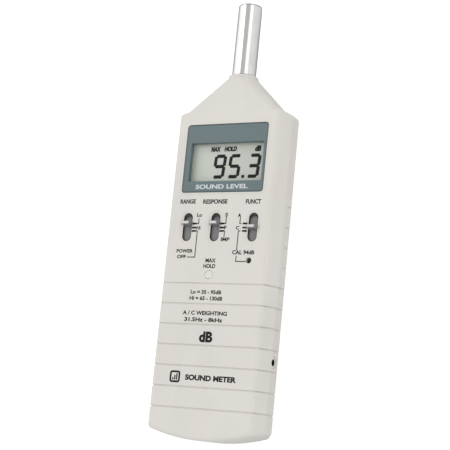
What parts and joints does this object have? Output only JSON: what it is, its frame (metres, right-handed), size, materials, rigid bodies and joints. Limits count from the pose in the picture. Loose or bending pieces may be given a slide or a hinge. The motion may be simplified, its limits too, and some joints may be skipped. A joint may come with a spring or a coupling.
{
  "type": "sound level meter",
  "caption": "Handheld sound level meter: tall two-shell case with a tapered neck, a slim round microphone tube, a framed liquid-crystal display and slide switches.",
  "frame": {"origin": "middle of the meter's outline, on the plane that its back lies on", "axes": "+Y along the case towards the microphone, +Z out of the display face, +X to the right seen from the front"},
  "size_m": [0.068, 0.24, 0.028],
  "materials": {
    "case_plastic": "fine spark texture, warm light grey",
    "label_film": "satin printed film, blank",
    "bezel_plastic": "satin slate blue-grey",
    "window_clear": "clear, polished",
    "lcd_glass": "grey-green reflective display glass",
    "frame_plastic": "white moulded",
    "contact_rubber": "matt black",
    "circuit_board": "green solder mask",
    "button_plastic": "as the case",
    "switch_plastic": "black moulded",
    "trimmer_plastic": "blue moulded",
    "rotor_brass": "turned",
    "chip_resin": "matt moulded resin",
    "can_aluminium": "drawn can",
    "can_steel": "drawn can",
    "microphone_chrome": "polished",
    "insulator_plastic": "natural",
    "contact_gold": "gold plated",
    "lead_insulation": "smooth lead insulation",
    "battery_can": "printed can, plain",
    "pad_foam": "open foam",
    "insert_brass": "knurled, turned",
    "screw_steel": "zinc plated",
    "switch_metal": "pressed tinned steel",
    "knob_plastic": "dark grey moulded"
  },
  "bodies": {
    "root": {"front_case": "case_plastic", "rear_case": "case_plastic", "rear_label": "label_film", "display_bezel": "bezel_plastic", "display_window": "window_clear", "lcd_panel": "lcd_glass", "lcd_frame": "frame_plastic", "zebra_strips": "contact_rubber", "main_board": "circuit_board", "hold_switch": "switch_plastic", "cal_trimmer": "trimmer_plastic", "output_jack": "switch_plastic", "processor_chip": "chip_resin", "amplifier_chips": "chip_resin", "electrolytic_capacitors": "can_aluminium", "quartz_crystal": "can_steel", "voltage_regulator": "chip_resin", "microphone_tube": "microphone_chrome", "microphone_grid": "microphone_chrome", "microphone_capsule": "can_aluminium", "capsule_insulator": "insulator_plastic", "capsule_contact": "contact_gold", "preamp_board": "circuit_board", "microphone_o_ring": "contact_rubber", "microphone_leads": "lead_insulation", "battery": "battery_can", "battery_snap": "switch_plastic", "battery_leads": "lead_insulation", "battery_pad": "pad_foam", "tripod_insert": "insert_brass", "case_screws": "screw_steel", "board_screws": "screw_steel", "range_switch": "switch_metal", "response_switch": "switch_metal", "function_switch": "switch_metal"},
    "range_knob_set": {"range_slider": "switch_plastic", "range_knob": "knob_plastic"},
    "response_knob_set": {"response_slider": "switch_plastic", "response_knob": "knob_plastic"},
    "function_knob_set": {"function_slider": "switch_plastic", "function_knob": "knob_plastic"},
    "hold_button_set": {"max_hold_button": "button_plastic", "hold_switch_plunger": "switch_plastic"},
    "trimmer_rotor": {"cal_trimmer_rotor": "rotor_brass"},
    "battery_cover": {"battery_door": "case_plastic"}
  },
  "joints": [
    {"name": "range_slide", "type": "slide", "parent": "root", "child": "range_knob_set", "axis": [0, -1, 0], "range_m": [0, 0.004]},
    {"name": "response_slide", "type": "slide", "parent": "root", "child": "response_knob_set", "axis": [0, -1, 0], "range_m": [0, 0.004]},
    {"name": "function_slide", "type": "slide", "parent": "root", "child": "function_knob_set", "axis": [0, -1, 0], "range_m": [-0.002, 0.002]},
    {"name": "max_hold_press", "type": "slide", "parent": "root", "child": "hold_button_set", "axis": [0, 0, -1], "range_m": [0, 0.0004], "stiffness_N_per_m": 800},
    {"name": "cal_trimmer_turn", "type": "hinge", "parent": "root", "child": "trimmer_rotor", "pos_m": [0.0198, -0.0259, 0.0205], "axis": [0, 0, 1], "range_deg": [-120, 120]},
    {"name": "battery_door_slide", "type": "slide", "parent": "root", "child": "battery_cover", "axis": [0, -1, 0], "range_m": [0, 0.055]}
  ]
}
